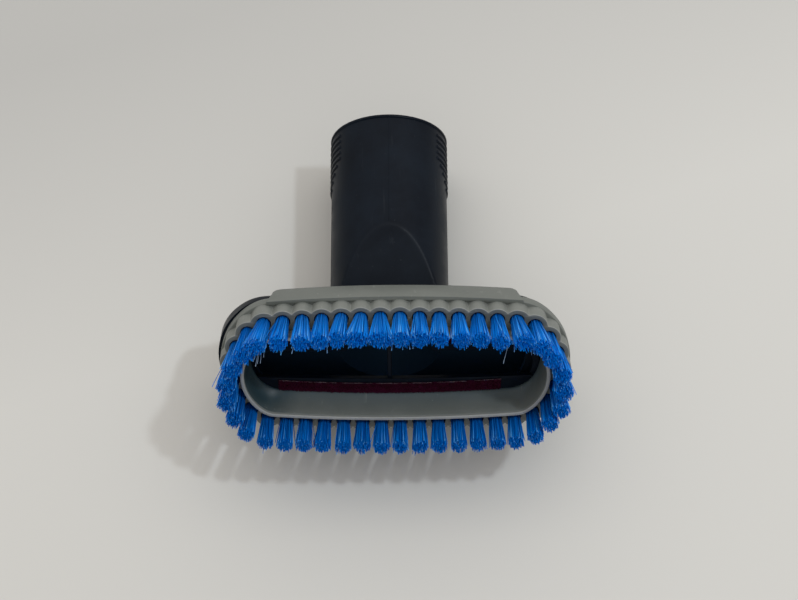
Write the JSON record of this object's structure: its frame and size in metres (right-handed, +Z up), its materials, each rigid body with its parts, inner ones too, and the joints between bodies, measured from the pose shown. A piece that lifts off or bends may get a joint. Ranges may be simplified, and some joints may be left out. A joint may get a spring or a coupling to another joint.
{
  "type": "vacuum brush",
  "caption": "Oval dusting brush nozzle: moulded suction head with an angled round neck, a bristle frame pushed over its mouth and velvet lint strips on its lips.",
  "frame": {"origin": "middle of the flat land on the heel of the head, where the head rests on a table", "axes": "+Y along the neck, towards its open end; +Z up from the table that the heel and the neck lie on; +X across the head"},
  "size_m": [0.1094, 0.1109, 0.0577],
  "materials": {
    "nozzle_black": "black moulded plastic, satin, slightly scuffed",
    "frame_grey": "mid grey moulded plastic, satin",
    "bristle_blue": "blue nylon bristle bundles",
    "velvet_red": "dark crimson lint velvet with short pile"
  },
  "bodies": {
    "root": {"nozzle_body": "nozzle_black", "brush_frame": "frame_grey", "lint_strip_lower": "velvet_red", "lint_strip_upper_left": "velvet_red", "lint_strip_upper_right": "velvet_red", "tuft_01": "bristle_blue", "tuft_02": "bristle_blue", "tuft_03": "bristle_blue", "tuft_04": "bristle_blue", "tuft_05": "bristle_blue", "tuft_06": "bristle_blue", "tuft_07": "bristle_blue", "tuft_08": "bristle_blue", "tuft_09": "bristle_blue", "tuft_10": "bristle_blue", "tuft_11": "bristle_blue", "tuft_12": "bristle_blue", "tuft_13": "bristle_blue", "tuft_14": "bristle_blue", "tuft_15": "bristle_blue", "tuft_16": "bristle_blue", "tuft_17": "bristle_blue", "tuft_18": "bristle_blue", "tuft_19": "bristle_blue", "tuft_20": "bristle_blue", "tuft_21": "bristle_blue", "tuft_22": "bristle_blue", "tuft_23": "bristle_blue", "tuft_24": "bristle_blue", "tuft_25": "bristle_blue", "tuft_26": "bristle_blue", "tuft_27": "bristle_blue", "tuft_28": "bristle_blue", "tuft_29": "bristle_blue", "tuft_30": "bristle_blue", "tuft_31": "bristle_blue", "tuft_32": "bristle_blue", "tuft_33": "bristle_blue", "tuft_34": "bristle_blue", "tuft_35": "bristle_blue", "tuft_36": "bristle_blue", "tuft_37": "bristle_blue", "tuft_38": "bristle_blue", "tuft_39": "bristle_blue", "tuft_40": "bristle_blue", "tuft_41": "bristle_blue"}
  },
  "joints": []
}
